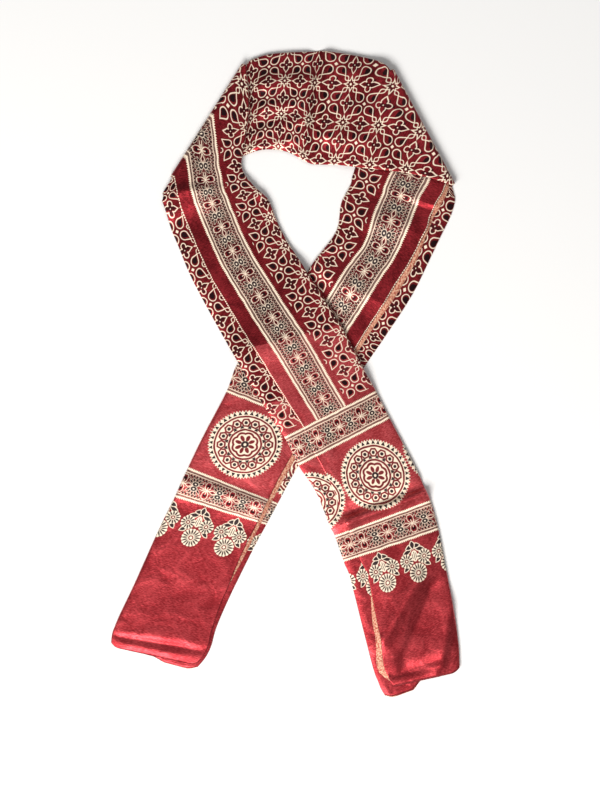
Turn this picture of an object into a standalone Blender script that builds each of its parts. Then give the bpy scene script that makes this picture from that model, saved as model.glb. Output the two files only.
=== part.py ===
"""A printed mashru silk stole, folded lengthwise into a strip of four layers and laid on a table.

The strip starts at the tail on the right, climbs over the other arm to the left shoulder, is folded
over there along a slanting line, crosses the top as a band, is folded under at the right shoulder
and comes back down to the tail on the left. It is one cloth, so it is one solid: the folded section
is swept along the three runs and round the two slanting folds.
Millimetres in the tables, metres in the scene, +Z up, the table top at z = 0.
"""

import math

import bmesh
import bpy
import numpy as np

MM = 0.001

# The folded section: a sheet doubled down its middle and doubled again, so the two long
# selvedges lie on each other near one edge and the sheet wraps round the other edge.
CLOTH = 1.0  # thickness of one layer
LAYER_GAP = 0.8  # air between neighbouring layers
LAYERS = 4
STACK = LAYERS * CLOTH + (LAYERS - 1) * LAYER_GAP
LAYER_STEP = CLOTH + LAYER_GAP
LEVEL = [CLOTH / 2 + LAYER_STEP * layer for layer in range(LAYERS)]
WRAP_RADIUS = (LEVEL[3] - LEVEL[0]) / 2  # outer turn, round the quarter edge
TURN_RADIUS = LAYER_STEP / 2  # tight turns: the centre fold and the one inside the wrap
LAYER_PIECES = 5  # faces across each layer, in line from layer to layer
WRAP_PIECES = 4
TURN_PIECES = 2

# How the runs lie on each other
RUN_GAP = 1.2  # air between two runs of the strip
CLIMB = STACK + RUN_GAP  # height of a run that lies on another
CLIMB_MARGIN = 3.0  # full height is reached this far outside the lower run
CLIMB_LENGTH = 50.0  # the climb itself
PRESS_LENGTH = 26.0  # a run is pressed flat under another, and swells again over this length
CROWN = 0.8  # power of the arch that the loft makes across the strip; 1 is a half wave
SLANT_PIECES = 6  # faces round each slanting fold
STATION_PITCH = 36.0  # most distance between two sections
END_SLIP = 4.0  # how far the lowest layer's end sticks out past the top layer's
TINY = 1e-9  # keeps a division safe where a length or a rise is zero

CLOTH_COLOUR = (0.42, 0.02, 0.04, 1.0)
CLOTH_ROUGHNESS = 0.38

# Each row is a section of the folded strip, seen from above. quarter is its end on the edge that the
# sheet wraps round, centre its end on the edge with the centre fold. lift raises the whole strip
# and loft spreads its layers at mid width. selvedge and under are how far in from the
# centre edge the upper and the lower selvedge lie.
EDGES = ("quarter", "centre")
SIZES = ("lift", "loft", "selvedge", "under")

RIGHT_TAIL_TO_LEFT_SHOULDER = (
    ((257, -433), (147, -472), 0.0, 1.5, 16, 12),
    ((256, -421), (141, -462), 0.0, 5.0, 16, 10),
    ((255, -409), (136, -449), 0.0, 0.8, 16, 8),
    ((253, -392), (129, -430), 0.0, 6.0, 16, 8),
    ((248, -353), (115, -376), 0.0, 3.0, 20, 10),
    ((237, -294), (95, -297), 0.0, 4.0, 24, 17),
    ((223, -228), (77, -246), 0.0, 3.5, 25, 20),
    ((210, -178), (70, -231), 0.0, 0.8, 25, 21),
    ((204, -166), (65, -220), 9.0, 1.5, 25, 22),
    ((188, -131), (45, -171), 2.5, 3.0, 28, 26),
    ((158, -72), (21, -134), 0.0, 2.0, 33, 31),
    ((133, -26), (-1, -91), 0.0, 2.0, 33, 32),
    ((114, 9), (-25, -55), 0.0, 1.5, 32, 31),
    ((83, 69), (-57, -2), 0.0, 1.5, 31, 29),
    ((39, 139), (-94, 62), 0.0, 3.0, 28, 26),
    ((0, 200), (-135, 138), 0.0, 4.0, 25, 23),
    ((-15, 232), (-156, 188), 0.0, 3.0, 24, 22),
    ((-25, 256), (-166, 212), 0.0, 2.5, 24, 22),
    ((-47, 277), (-172, 232), 3.0, 2.0, 23, 21),
    ((-63, 303), (-177, 247), 0.0, 2.0, 20, 18),
    ((-57, 345), (-179, 252), 0.0, 1.5, 18, 16),
    ((-52, 393), (-178, 256), 0.0, 1.0, 16, 14),
    ((-57, 451), (-177, 262), 0.0, 0.0, 14, 12),
)
TOP_BAND = (
    ((-57, 451), (-177, 262), 0.0, 0.0, 14, 12),
    ((-52, 457), (-124, 289), 0.0, 0.0, 12, 4),
    ((-44, 461), (-72, 314), 0.0, 2.0, 12, 3),
    ((-24, 467), (-34, 327), 0.0, 5.0, 12, 3),
    ((7, 470), (1, 325), 0.0, 5.0, 12, 4),
    ((40, 471), (27, 312), 0.0, 5.0, 14, 6),
    ((48, 472), (38, 307), 0.0, 0.8, 14, 6),
    ((56, 472), (49, 306), 0.0, 5.0, 14, 6),
    ((88, 468), (76, 305), 0.0, 4.0, 14, 6),
    ((118, 462), (117, 300), 0.0, 2.5, 14, 6),
    ((135, 457), (171, 294), 0.0, 2.0, 14, 6),
    ((146, 451), (214, 285), 0.0, 1.0, 14, 10),
    ((153, 443), (243, 275), 0.0, 0.0, 15, 10),
)
RIGHT_SHOULDER_TO_LEFT_TAIL = (
    ((153, 443), (243, 275), 0.0, 0.0, 15, 10),
    ((140, 410), (246, 265), 0.0, 1.0, 18, 12),
    ((124, 363), (248, 253), 0.0, 1.0, 22, 16),
    ((99, 292), (243, 234), 4.0, 2.0, 27, 20),
    ((96, 278), (237, 221), 0.0, 1.0, 26, 22),
    ((82, 250), (227, 201), 0.0, 4.0, 23, 20),
    ((74, 208), (208, 161), 0.0, 3.5, 24, 17),
    ((41, 163), (185, 115), 0.0, 3.0, 29, 20),
    ((8, 109), (148, 58), 0.0, 2.0, 28, 22),
    ((-35, 44), (107, -2), 0.0, 1.0, 24, 20),
    ((-67, 8), (66, -62), 0.0, 1.0, 20, 14),
    ((-86, -30), (40, -101), 0.0, 2.0, 18, 10),
    ((-118, -87), (15, -141), 0.0, 3.0, 16, 9),
    ((-143, -138), (-11, -186), 5.5, 1.5, 15, 9),
    ((-148, -147), (-14, -196), 0.0, 0.8, 14, 9),
    ((-164, -181), (-31, -224), 0.0, 3.5, 13, 8),
    ((-185, -228), (-50, -262), 0.0, 3.0, 12, 7),
    ((-220, -306), (-81, -325), 0.0, 2.5, 8, 5),
    ((-241, -350), (-100, -369), 0.0, 4.5, 5, 3),
    ((-251, -373), (-107, -394), 0.0, 5.5, 4, 3),
    ((-254, -380), (-112, -406), 0.0, 0.8, 4, 3),
    ((-256, -388), (-119, -418), 0.0, 4.0, 4, 3),
    ((-257, -396), (-129, -430), 0.0, 1.5, 4, 3),
)


def ease(share):
    """0 below 0, 1 above 1, and a smooth step between."""
    share = np.clip(share, 0.0, 1.0)
    return share * share * (3 - 2 * share)


def curve_point(before, start, end, after, share):
    """A point on the smooth curve through start and end, whose tangents follow their neighbours."""
    tangent_in = (end - before) / 2
    tangent_out = (after - start) / 2
    square, cube = share**2, share**3
    return (
        (2 * cube - 3 * square + 1) * start
        + (cube - 2 * square + share) * tangent_in
        + (3 * square - 2 * cube) * end
        + (cube - square) * tangent_out
    )


def sections_of(rows):
    """Sections no further than STATION_PITCH apart, on smooth edges through the table's rows."""
    table = [dict(zip(EDGES + SIZES, row)) for row in rows]
    ends = {edge: [np.array(row[edge], float) for row in table] for edge in EDGES}
    sections = []
    for index in range(len(table) - 1):
        around = [min(max(index + step, 0), len(table) - 1) for step in (-1, 0, 1, 2)]
        reach = max(
            np.linalg.norm(points[index + 1] - points[index])
            for points in ends.values()
        )
        steps = math.ceil(reach / STATION_PITCH)
        for step in range(steps):
            share = step / steps
            section = {
                edge: curve_point(*(points[near] for near in around), share)
                for edge, points in ends.items()
            }
            for size in SIZES:
                change = table[index + 1][size] - table[index][size]
                section[size] = table[index][size] + change * ease(share)
            sections.append(section)
    last = dict(table[-1])
    last.update({edge: points[-1] for edge, points in ends.items()})
    return sections + [last]


def outline_of(sections):
    """The run's outline from above: down the quarter edge and back up the centre edge."""
    return np.array(
        [section["quarter"] for section in sections]
        + [section["centre"] for section in reversed(sections)]
    )


def distance_to(points, starts, ends):
    """The least distance from each point to any of the straight pieces from starts to ends."""
    along = ends - starts
    offset = points[:, None] - starts[None]
    share = (offset * along).sum(2) / np.maximum((along**2).sum(1), TINY)
    nearest = starts + np.clip(share, 0, 1)[..., None] * along
    return np.linalg.norm(points[:, None] - nearest, axis=2).min(1)


def distance_outside(points, outline):
    """How far each point lies outside the outline, and 0 inside it."""
    starts, ends = outline, np.roll(outline, -1, axis=0)
    x, y = points[:, :1], points[:, 1:]
    straddles = (starts[:, 1] > y) != (ends[:, 1] > y)
    change = ends - starts
    rise = np.where(np.abs(change[:, 1]) < TINY, TINY, change[:, 1])
    crossing = starts[:, 0] + (y - starts[:, 1]) / rise * change[:, 0]
    inside = (straddles & (x < crossing)).sum(1) % 2 == 1
    return np.where(inside, 0.0, distance_to(points, starts, ends))


def arc(across, height, radius, start, end, pieces, side):
    """Points and printed-side normals on a turn of the sheet, from start to end degrees."""
    found = []
    for piece in range(pieces + 1):
        angle = math.radians(start + (end - start) * piece / pieces)
        normal = (math.cos(angle), math.sin(angle))
        middle = (across + radius * normal[0], height + radius * normal[1])
        found.append((*middle, side * normal[0], side * normal[1]))
    return found


def layer(places, height, side):
    """Points across one flat layer, its ends left to the turns beside it."""
    return [(place, height, 0.0, side) for place in places]


def folded_sheet(width, selvedge, under):
    """The sheet's mid line across the strip: (across, height, normal across, normal up)."""
    wrap = WRAP_RADIUS + CLOTH / 2
    turn = width - TURN_RADIUS - CLOTH / 2
    upper_edge, lower_edge = width - selvedge, width - under
    pitch = (upper_edge - wrap) / LAYER_PIECES
    places = [wrap + pitch * piece for piece in range(1, LAYER_PIECES)]
    longer = places + [upper_edge]
    path = layer(longer[::-1], LEVEL[3], 1.0)
    path += arc(wrap, STACK / 2, WRAP_RADIUS, 90, 270, WRAP_PIECES, 1.0)
    path += layer(longer, LEVEL[0], -1.0)
    path += arc(turn, STACK / 2 - LAYER_STEP, TURN_RADIUS, -90, 90, TURN_PIECES, 1.0)
    path += layer(longer[::-1], LEVEL[1], 1.0)
    path += arc(wrap, STACK / 2, TURN_RADIUS, 270, 90, TURN_PIECES, -1.0)
    path += layer(places + [lower_edge], LEVEL[2], -1.0)
    return np.array(path)


def level_ring(section, face_up):
    """The section lying flat: plan and height of its corners, then of the mid line beside each."""
    width = np.linalg.norm(section["centre"] - section["quarter"])
    across = (section["centre"] - section["quarter"]) / width
    path = folded_sheet(width, section["selvedge"], section["under"])
    middle, normal = path[:, :2], path[:, 2:]
    printed_side = middle + normal * CLOTH / 2
    plain_side = middle - normal * CLOTH / 2
    flat = [np.vstack([printed_side, plain_side[::-1]]), np.vstack([middle, middle[::-1]])]
    if not face_up:
        flat = [np.column_stack([line[:, 0], STACK - line[:, 1]]) for line in flat]
    return [(section["quarter"] + line[:, :1] * across, line[:, 1]) for line in flat]


class Run:
    """One run of the strip between two slanting folds. face_up is False where it is turned over."""

    def __init__(self, rows, face_up):
        self.sections = sections_of(rows)
        self.outline = outline_of(self.sections)
        self.face_up = face_up
        self.lies_on = []
        self.lies_under = []
        self.slants = []

    def climb(self, plan):
        """How high each point stands on the runs below this one."""
        height = np.zeros(len(plan))
        for run in self.lies_on:
            gap = distance_outside(plan, run.outline) - CLIMB_MARGIN
            height = np.maximum(height, CLIMB * (1 - ease(gap / CLIMB_LENGTH)))
        return height

    def freedom(self, plan):
        """0 where a run above or a slanting fold presses this one flat, rising to 1 where it is free."""
        clear = np.full(len(plan), np.inf)
        for run in self.lies_under:
            clear = np.minimum(clear, distance_outside(plan, run.outline))
        for start, end in self.slants:
            clear = np.minimum(clear, distance_to(plan, start[None], end[None]))
        return ease(clear / PRESS_LENGTH)

    def ring(self, section):
        """The corners of one section where it lies."""
        (plan, height), (middle, middle_height) = level_ring(section, self.face_up)
        width = np.linalg.norm(section["centre"] - section["quarter"])
        share = np.linalg.norm(middle - section["quarter"], axis=1) / width
        arch = np.sin(np.pi * np.clip(share, 0, 1)) ** CROWN
        layer_share = (middle_height - CLOTH / 2) / (STACK - CLOTH)
        swell = section["lift"] + section["loft"] * arch * layer_share
        height = height + self.climb(middle) + self.freedom(middle) * swell
        return np.column_stack([plan, height])

    def rings(self):
        """The corners of every section in order."""
        return [self.ring(section) for section in self.sections]


def slant_rings(section, outward, face_up):
    """The sections round a slanting fold, which turn the strip over about a line on the table."""
    plan, rise = level_ring(section, face_up)[0]
    depth = RUN_GAP / 2 + rise
    rings = []
    for piece in range(1, SLANT_PIECES):
        angle = math.pi * piece / SLANT_PIECES
        reach = depth * math.sin(angle)
        height = STACK + RUN_GAP / 2 + depth * math.cos(angle)
        rings.append(np.column_stack([plan + reach[:, None] * outward, height]))
    return rings


def outward_of(section, inside):
    """The level direction square to a slanting fold, pointing away from the point inside."""
    along = section["centre"] - section["quarter"]
    normal = np.array([along[1], -along[0]]) / np.linalg.norm(along)
    return normal if normal @ (section["quarter"] - inside) > 0 else -normal


def slip_end(ring, beside):
    """Moves the end section's layers along the strip, so that they end a little apart."""
    half = len(ring) // 2
    share = np.linspace(1.0, -1.0, half)
    away = ring[:, :2].mean(0) - beside[:, :2].mean(0)
    away /= np.linalg.norm(away)
    slip = np.concatenate([share, share[::-1]]) * -END_SLIP / 2
    return np.column_stack([ring[:, :2] + slip[:, None] * away, ring[:, 2]])


def strip_rings():
    """Every section of the strip in order, from the right tail's end to the left tail's."""
    left = Run(RIGHT_TAIL_TO_LEFT_SHOULDER, True)
    band = Run(TOP_BAND, False)
    right = Run(RIGHT_SHOULDER_TO_LEFT_TAIL, True)
    left.lies_on = [band, right]
    band.lies_on = [right]
    band.lies_under = [left]
    right.lies_under = [left, band]
    left_slant, right_slant = band.sections[0], band.sections[-1]
    left.slants = [(left_slant["quarter"], left_slant["centre"])]
    band.slants = [(right_slant["quarter"], right_slant["centre"])]
    loop_centre = band.outline.mean(0)
    rings = left.rings()
    rings[0] = slip_end(rings[0], rings[1])
    rings += slant_rings(left_slant, outward_of(left_slant, loop_centre), True)
    rings += band.rings()
    rings += slant_rings(right_slant, outward_of(right_slant, loop_centre), False)
    rings += right.rings()
    rings[-1] = slip_end(rings[-1], rings[-2])
    return rings


def end_cap(first, count):
    """The faces that close an end: a row of quads along the sheet's thickness."""
    last = first + count - 1
    return [
        (first + step, first + step + 1, last - step - 1, last - step)
        for step in range(count // 2 - 1)
    ]


def stole_mesh():
    """The mesh of the whole stole, centred on its footprint."""
    rings = strip_rings()
    count = len(rings[0])
    points = np.vstack(rings)
    points[:, :2] -= (points[:, :2].min(0) + points[:, :2].max(0)) / 2
    faces = []
    for ring in range(len(rings) - 1):
        low, high = ring * count, (ring + 1) * count
        for step in range(count):
            after = (step + 1) % count
            faces.append((low + step, low + after, high + after, high + step))
    faces += end_cap(0, count) + end_cap((len(rings) - 1) * count, count)
    mesh = bpy.data.meshes.new("stole")
    mesh.from_pydata((points * MM).tolist(), [], faces)
    shape = bmesh.new()
    shape.from_mesh(mesh)
    bmesh.ops.recalc_face_normals(shape, faces=shape.faces)
    bmesh.ops.triangulate(shape, faces=shape.faces)
    shape.to_mesh(mesh)
    shape.free()
    mesh.shade_smooth()
    return mesh


def silk():
    """The red satin of the stole."""
    material = bpy.data.materials.new("red_silk")
    material.use_nodes = True
    shader = material.node_tree.nodes["Principled BSDF"]
    shader.inputs["Base Color"].default_value = CLOTH_COLOUR
    shader.inputs["Roughness"].default_value = CLOTH_ROUGHNESS
    return material


def main():
    for thing in list(bpy.data.objects):
        bpy.data.objects.remove(thing)
    stole = bpy.data.objects.new("stole", stole_mesh())
    stole.data.materials.append(silk())
    bpy.context.scene.collection.objects.link(stole)


main()
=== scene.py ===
import math

import bpy
import mathutils
import numpy as np
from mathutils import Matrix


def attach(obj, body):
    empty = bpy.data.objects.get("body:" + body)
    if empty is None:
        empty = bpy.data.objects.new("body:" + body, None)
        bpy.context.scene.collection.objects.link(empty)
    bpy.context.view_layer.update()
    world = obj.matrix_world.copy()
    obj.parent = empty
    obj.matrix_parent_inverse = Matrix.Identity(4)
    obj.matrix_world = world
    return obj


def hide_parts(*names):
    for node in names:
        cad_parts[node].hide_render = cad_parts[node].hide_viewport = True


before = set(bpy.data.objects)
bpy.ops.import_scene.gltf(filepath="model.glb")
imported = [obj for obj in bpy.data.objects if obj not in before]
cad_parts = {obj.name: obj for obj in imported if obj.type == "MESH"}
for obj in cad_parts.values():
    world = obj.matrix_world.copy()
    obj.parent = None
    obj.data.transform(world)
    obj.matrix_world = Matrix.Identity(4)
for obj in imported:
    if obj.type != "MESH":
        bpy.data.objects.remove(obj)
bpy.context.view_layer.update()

# The table that the stole lies on: a plain pale sheet of card, which is only part of the picture. It
# lies a hair below the cloth's underside, so that the two never share a surface.

FLOOR_HALF = 3.0
FLOOR_DROP = 0.0002
CARD_WHITE = (0.87, 0.87, 0.87, 1)
CARD_ROUGHNESS = 0.8
floor_mesh = bpy.data.meshes.new("floor")
floor_corners = ((-1, -1), (1, -1), (1, 1), (-1, 1))
floor_points = [(x * FLOOR_HALF, y * FLOOR_HALF, -FLOOR_DROP) for x, y in floor_corners]
floor_mesh.from_pydata(floor_points, [], [(0, 1, 2, 3)])
floor = bpy.data.objects.new("floor", floor_mesh)
bpy.context.scene.collection.objects.link(floor)
card = bpy.data.materials.new("pale_card")
card.use_nodes = True
card_shader = card.node_tree.nodes["Principled BSDF"]
card_shader.inputs["Base Color"].default_value = CARD_WHITE
card_shader.inputs["Roughness"].default_value = CARD_ROUGHNESS
floor_mesh.materials.append(card)

# The stole: one long piece of satin, silk over cotton, folded lengthwise into a strip of four layers.
# The strip is laid in a loop whose ends cross. It is made as a fine grid that follows the folded
# cloth from the right tail to the left one, and every corner knows its own place on the flat cloth.

MM = 0.001
CLOTH_WIDTH = 555.0
CLOTH_LENGTH = 2168.0
SHEET = 0.5
LAYER_AIR = 1.2
LEVEL = [SHEET / 2 + (SHEET + LAYER_AIR) * layer for layer in range(4)]
STACK = LEVEL[3] + SHEET / 2
STATION = 5.0  # about how far apart the grid's rows are
TINY = 1e-9  # keeps a line of no length from dividing by nought

# The strip's rows, in millimetres from the middle of the footprint. quarter and centre are the two
# edges, named by their folds. lift raises the row and loft puffs its middle. selvedge and under say how
# far the two selvedges stay back from the centre edge. crease is the cloth's width in the top layer, fold
# how far the centre fold lies from the upper selvedge, and slip how far the inner layers have slid along.
# quarter_place and centre_place are the distances along the cloth that lie at the two edges.
EDGES = ("quarter", "centre")
SIZES = ("lift", "loft", "selvedge", "under", "crease", "fold", "slip")
PLACES = ("quarter_place", "centre_place")
FREE = (None, None)
RIGHT_TAIL_TO_LEFT_SHOULDER = (
    ((257, -433), (147, -472), 0.0, 0.6, 16, 18, 116, 292, 0, (23, 23)),
    ((256, -421), (141, -462), 0.0, 3.5, 16, 16, 116, 292, 0, FREE),
    ((255, -409), (136, -449), 0.0, 0.8, 16, 10, 117, 292, 0, FREE),
    ((253, -392), (129, -430), 0.0, 4.0, 16, 6, 117, 292, 0, FREE),
    ((248, -353), (115, -376), 0.0, 3.0, 22, 15, 117, 292, 0, FREE),
    ((237, -294), (95, -297), 0.0, 4.0, 26, 27, 117, 292, 0, FREE),
    ((224.1, -227.5), (86.1, -274.2), 0.0, 3.5, 23, 25, 117, 292, 0, (229, 229)),
    ((211.7, -182.8), (72.3, -234.6), 0.0, 0.8, 22, 24, 120, 292, 0, (277, 277)),
    ((204, -166), (65, -220), 2.0, 1.5, 23, 25, 123, 292, 0, FREE),
    ((188, -131), (45, -171), 0.0, 3.0, 25, 27, 125, 292, 0, FREE),
    ((153.3, -65.0), (20.4, -133.6), 0.0, 2.0, 29, 31, 123, 295, 0, (400, 400)),
    ((132.1, -23.4), (-1.5, -90.5), 0.0, 2.0, 31, 33, 122, 295, 0, (448, 448)),
    ((114, 9), (-25, -55), 0.0, 1.5, 32, 34, 122, 295, 1, FREE),
    ((83, 69), (-57, -2), 0.0, 1.5, 31, 33, 123, 295, 3, FREE),
    ((39, 139), (-94, 62), 0.0, 3.0, 28, 30, 125, 295, 8, (640, 645)),
    ((0, 200), (-135, 138), 0.0, 4.0, 25, 27, 126, 295, 9, (711, 725)),
    ((-15, 232), (-156, 188), 0.0, 3.0, 24, 26, 128, 295, 9, FREE),
    ((-25, 256), (-166, 212), 0.0, 2.5, 24, 26, 128, 295, 9, (783, 792)),
    ((-47, 277), (-172, 232), 2.0, 2.0, 22, 24, 114, 295, 8, FREE),
    ((-63, 303), (-177, 247), 0.0, 2.0, 23, 25, 104, 292, 6, (853, 817)),
    ((-57, 345), (-179, 252), 0.0, 1.5, 26, 28, 118, 292, 4, (891, 823)),
    ((-52, 393), (-178, 256), 0.0, 1.0, 27, 29, 130, 292, 2, (940, 828)),
    ((-57, 451), (-177, 262), 0.0, 0.0, 28, 30, 131, 288, 0, (987, 834)),
)
TOP_BAND = (
    ((-57, 451), (-177, 262), 0.0, 0.0, 28, 30, 131, 288, 0, (987, 834)),
    ((-52, 457), (-124, 289), 0.0, 0.0, 20, 4, 125, 285, 0, (1003, 908)),
    ((-44, 461), (-72, 314), 0.0, 2.0, 12, 3, 123, 284, 0, (1012, 983)),
    ((-24, 467), (-34, 327), 0.0, 4.0, 12, 3, 123, 284, 0, (1031, 1028)),
    ((7, 470), (1, 325), 0.0, 4.0, 12, 4, 124, 282, 0, (1061, 1073)),
    ((40, 471), (27, 312), 0.0, 4.0, 14, 6, 126, 282, 0, (1096, 1113)),
    ((48, 472), (38, 307), 0.0, 1.5, 14, 6, 126, 282, 0, FREE),
    ((56, 472), (49, 306), 0.0, 4.0, 14, 6, 127, 282, 0, (1117, 1137)),
    ((88, 468), (76, 305), 0.0, 3.5, 14, 6, 128, 282, 0, (1143, 1166)),
    ((118, 462), (117, 300), 0.0, 2.5, 14, 6, 133, 282, 0, (1175, 1207)),
    ((135, 457), (171, 294), 0.0, 2.0, 14, 6, 137, 282, 0, (1191, 1259)),
    ((146, 451), (214, 285), 0.0, 1.0, 14, 10, 142, 282, 0, (1203, 1302)),
    ((153, 443), (243, 275), 0.0, 0.0, 15, 10, 148, 288, 0, (1212, 1332)),
)
RIGHT_SHOULDER_TO_LEFT_TAIL = (
    ((153, 443), (243, 275), 0.0, 0.0, 15, 10, 148, 288, 0, (1212, 1332)),
    ((140, 410), (246, 265), 0.0, 1.0, 18, 12, 130, 289, 0, (1250, 1342)),
    ((124, 363), (248, 253), 0.0, 1.0, 22, 16, 120, 289, 0, (1312, 1372)),
    ((99, 292), (243, 234), 0.0, 2.0, 27, 20, 116, 289, 0, (1387, 1392)),
    ((96, 278), (237, 221), 0.0, 1.0, 26, 22, 116, 289, 0, (1402, 1407)),
    ((82, 250), (227, 201), 0.0, 4.0, 23, 20, 116, 289, 0, (1432, 1425)),
    ((74, 208), (208, 161), 0.0, 3.5, 24, 17, 115, 289, 0, (1475, 1457)),
    ((41, 163), (185, 115), 0.0, 3.0, 29, 20, 114, 289, 0, (1533, 1493)),
    ((8, 109), (148, 58), 0.0, 2.0, 28, 22, 114, 289, 0, (1597, 1553)),
    ((-35, 44), (107, -2), 0.0, 1.0, 24, 20, 118, 289, 0, FREE),
    ((-67.9, 17.8), (83.2, -40.7), 0.0, 1.0, 20, 14, 120, 289, 0, (1720, 1720)),
    ((-86.1, -26.6), (52.6, -80.4), 0.0, 2.0, 18, 10, 122, 289, 0, (1768, 1768)),
    ((-118, -87), (15, -141), 0.0, 3.0, 16, 9, 124, 289, 0, FREE),
    ((-140.9, -134.5), (-10.2, -187.6), 0.0, 1.5, 15, 9, 124, 289, 0, (1891, 1891)),
    ((-161.3, -179.4), (-27.7, -220.0), 0.0, 3.5, 13, 8, 122, 289, 0, (1939, 1939)),
    ((-185, -228), (-50, -262), 0.0, 3.0, 12, 7, 122, 289, 0, FREE),
    ((-220, -306), (-81, -325), 0.0, 2.5, 8, 9, 122, 289, 0, FREE),
    ((-241, -350), (-100, -369), 0.0, 4.0, 5, 7, 122, 289, 0, FREE),
    ((-251, -373), (-107, -394), 0.0, 5.0, 4, 6, 122, 289, 0, FREE),
    ((-254, -380), (-112, -406), 0.0, 0.8, 4, 6, 122, 289, 0, FREE),
    ((-256, -388), (-119, -418), 0.0, 3.5, 4, 6, 122, 289, 0, FREE),
    ((-257, -396), (-129, -430), 0.0, 0.6, 4, 6, 122, 289, 0, (2168, 2168)),
)


def ease(share):
    """0 below 0, 1 above 1, and a smooth step between."""
    share = np.clip(share, 0.0, 1.0)
    return share * share * (3 - 2 * share)


def smooth_path(points, at):
    """The points at the places `at`, row number and a fraction, on the smooth curve through the rows."""
    points = np.array(points, float)
    row = np.clip(np.floor(at).astype(int), 0, len(points) - 2)
    share = (at - row)[:, None]
    before, start, end, after = (points[np.clip(row + step, 0, len(points) - 1)] for step in (-1, 0, 1, 2))
    square, cube = share**2, share**3
    return (
        (2 * cube - 3 * square + 1) * start
        + (cube - 2 * square + share) * (end - before) / 2
        + (3 * square - 2 * cube) * end
        + (cube - square) * (after - start) / 2
    )


def eased(values, at):
    """The rows' values at the places `at`, with a smooth step from row to row."""
    values = np.array(values, float)
    row = np.clip(np.floor(at).astype(int), 0, len(values) - 2)
    return values[row] + (values[row + 1] - values[row]) * ease(at - row)


def run_of(rows):
    """One run of the strip: its edges and sizes at evenly spaced stations."""
    table = [dict(zip(EDGES + SIZES + ("places",), row)) for row in rows]
    at = [0.0]
    for index in range(len(table) - 1):
        reach = max(math.dist(table[index][edge], table[index + 1][edge]) for edge in EDGES)
        cells = max(1, round(reach / STATION))
        at += [index + (cell + 1) / cells for cell in range(cells)]
    at = np.array(at)
    run = {edge: smooth_path([row[edge] for row in table], at) for edge in EDGES}
    run.update({size: eased([row[size] for row in table], at) for size in SIZES})
    for side, edge in enumerate(EDGES):
        steps = np.linalg.norm(np.diff(run[edge], axis=0), axis=1)
        length = np.concatenate([[0.0], np.cumsum(steps)])
        pinned = [(index, row["places"][side]) for index, row in enumerate(table) if row["places"] != FREE]
        knots = [length[int(np.argmin(np.abs(at - index)))] for index, place in pinned]
        run[PLACES[side]] = np.interp(length, knots, [place for index, place in pinned])
    run["outline"] = np.vstack([run["quarter"], run["centre"][::-1]])
    return run


def distance_to(points, start, end):
    """The distance from each point to one straight line from start to end."""
    along = end - start
    share = np.clip((points - start) @ along / max(along @ along, TINY), 0, 1)
    return np.linalg.norm(points - start - share[..., None] * along, axis=-1)


def distance_outside(points, outline):
    """How far each point lies outside the outline, and 0 inside it."""
    nearest = np.full(points.shape[:-1], np.inf)
    inside = np.zeros(points.shape[:-1], bool)
    for start, end in zip(outline, np.roll(outline, -1, axis=0)):
        nearest = np.minimum(nearest, distance_to(points, start, end))
        if start[1] != end[1]:
            straddles = (start[1] > points[..., 1]) != (end[1] > points[..., 1])
            crossing = start[0] + (points[..., 1] - start[1]) / (end[1] - start[1]) * (end[0] - start[0])
            inside ^= straddles & (points[..., 0] < crossing)
    return np.where(inside, 0.0, nearest)


# How many cells each part of the section has, from the upper selvedge round to the lower one. The
# layers that show are the finest.
SELVEDGE_CELLS = 4
SELVEDGE_BAND = 6.0
UPPER_CELLS = 24
WRAP_CELLS = 6
LOWER_CELLS = 22
TURN_CELLS = 4
INNER_CELLS = 14
TUCK_CELLS = 4
UNDER_CELLS = 13
INNER_FROM, INNER_OVER = 200.0, 80.0  # the slipped inner layers start here, across the cloth


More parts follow.
